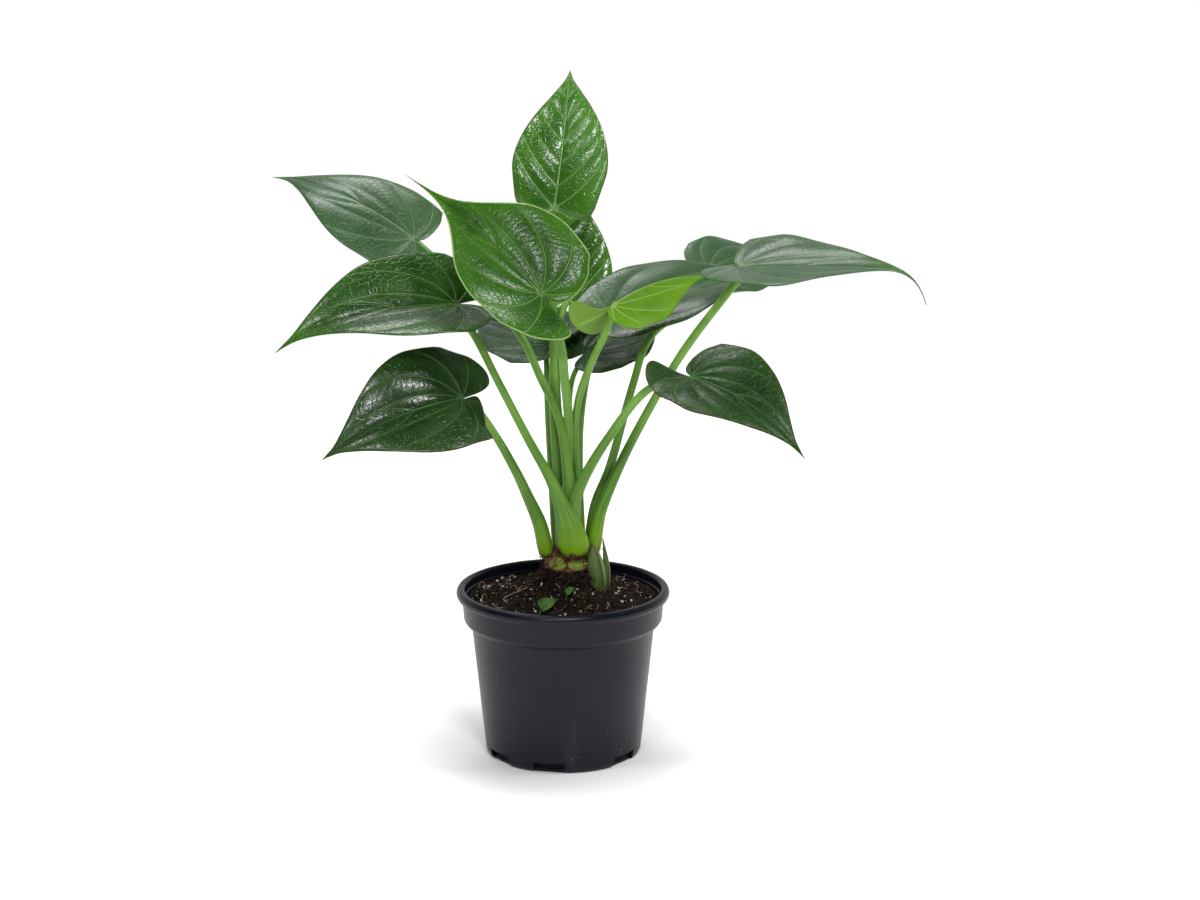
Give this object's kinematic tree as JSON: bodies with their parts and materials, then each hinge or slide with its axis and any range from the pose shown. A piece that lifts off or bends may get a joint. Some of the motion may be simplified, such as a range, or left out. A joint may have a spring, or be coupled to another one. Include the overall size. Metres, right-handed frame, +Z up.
{
  "type": "potted plant",
  "caption": "Dwarf alocasia with glossy heart-shaped leaves on long clasping petioles, rooted in soil in a round black nursery pot.",
  "frame": {"origin": "centre of the pot's foot, on the surface it stands on", "axes": "+Z up along the pot's axis, -Y towards the plant's front, +X to the right seen from the front"},
  "size_m": [0.5196, 0.3272, 0.5383],
  "materials": {
    "pot": "satin",
    "soil": "matt",
    "stem": "matt",
    "dry_sheath": "matt",
    "shoot": "satin",
    "petiole": "satin",
    "blade_deep": "glossy",
    "blade_grey": "glossy",
    "blade_mid": "glossy",
    "blade_bright": "glossy",
    "blade_young": "satin"
  },
  "bodies": {
    "root": {"pot": "pot", "soil": "soil", "stem": "stem", "dry_sheath": "dry_sheath", "offset_shoot": "shoot", "offset_bract": "shoot", "seedling_left": "blade_bright", "seedling_right": "blade_bright", "leaf_young_petiole": "petiole", "leaf_young_blade": "blade_young", "leaf_front_petiole": "petiole", "leaf_front_blade": "blade_bright", "leaf_top_petiole": "petiole", "leaf_top_blade": "blade_mid", "leaf_right_inner_petiole": "petiole", "leaf_right_inner_blade": "blade_grey", "leaf_back_upright_petiole": "petiole", "leaf_back_upright_blade": "blade_mid", "leaf_back_left_petiole": "petiole", "leaf_back_left_blade": "blade_deep", "leaf_back_right_petiole": "petiole", "leaf_back_right_blade": "blade_deep", "leaf_right_back_petiole": "petiole", "leaf_right_back_blade": "blade_grey", "leaf_left_upper_petiole": "petiole", "leaf_left_upper_blade": "blade_grey", "leaf_right_long_petiole": "petiole", "leaf_right_long_blade": "blade_grey", "leaf_right_lower_petiole": "petiole", "leaf_right_lower_blade": "blade_deep", "leaf_left_lower_petiole": "petiole", "leaf_left_lower_blade": "blade_deep", "leaf_left_long_petiole": "petiole", "leaf_left_long_blade": "blade_deep"}
  },
  "joints": []
}
